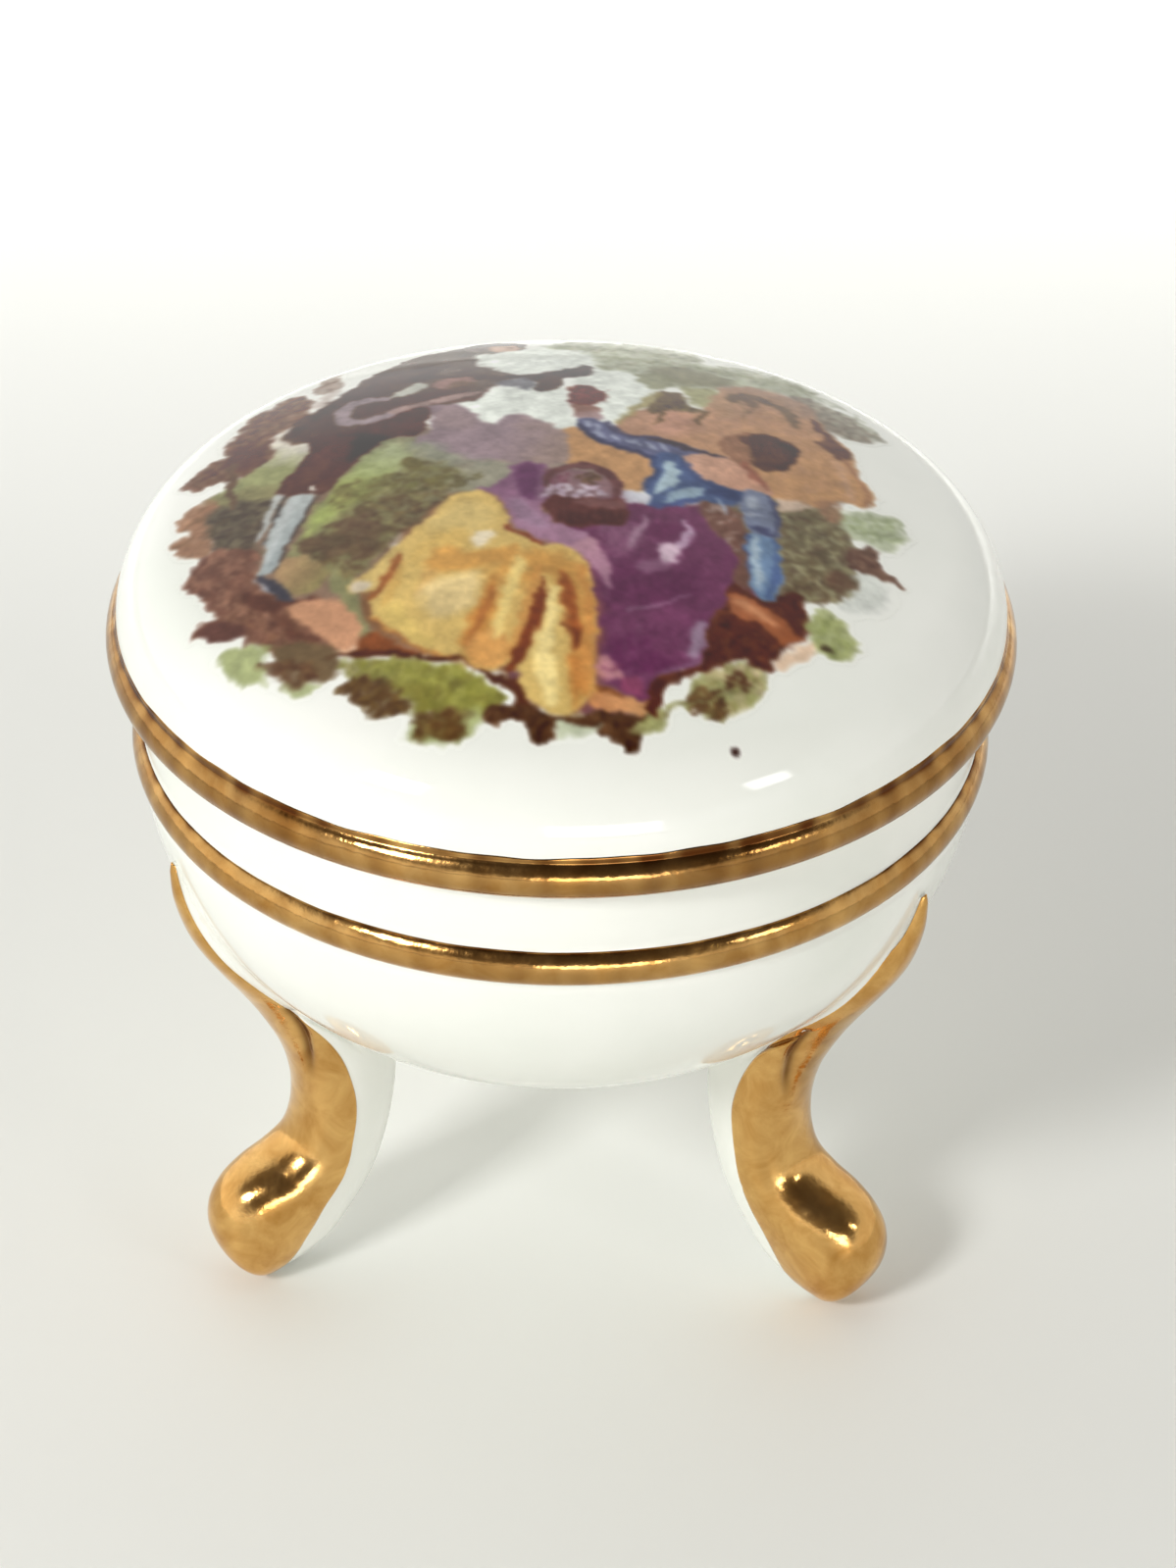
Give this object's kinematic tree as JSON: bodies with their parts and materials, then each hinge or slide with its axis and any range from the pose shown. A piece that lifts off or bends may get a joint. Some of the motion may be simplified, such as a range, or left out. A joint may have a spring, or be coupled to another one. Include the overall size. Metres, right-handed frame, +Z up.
{
  "type": "porcelain trinket box",
  "caption": "Small round porcelain trinket box on cabriole legs, with gilt beads and a loose domed lid that carries a printed scene.",
  "frame": {"origin": "on the table, under the axis of the round bowl", "axes": "+Z up along the axis of the bowl and the lid; -Y is the front, midway between the two front legs; +X is to the right seen from the front"},
  "size_m": [0.05, 0.05, 0.0495],
  "materials": {
    "porcelain": "glossy glaze",
    "gilding": "burnished",
    "enamel": "glossy print"
  },
  "bodies": {
    "box": {"bowl": "porcelain", "leg_left": "porcelain", "leg_right": "porcelain", "leg_back": "porcelain", "bowl_gilt_band": "gilding", "leg_left_gilding": "gilding", "leg_right_gilding": "gilding", "leg_back_gilding": "gilding"},
    "lid": {"lid": "porcelain", "lid_gilt_rim": "gilding", "lid_transfer_scene": "enamel"}
  },
  "joints": [
    {"name": "lid_lift", "type": "slide", "parent": "box", "child": "lid", "axis": [0, 0, 1], "range_m": [0, 0.02]}
  ]
}
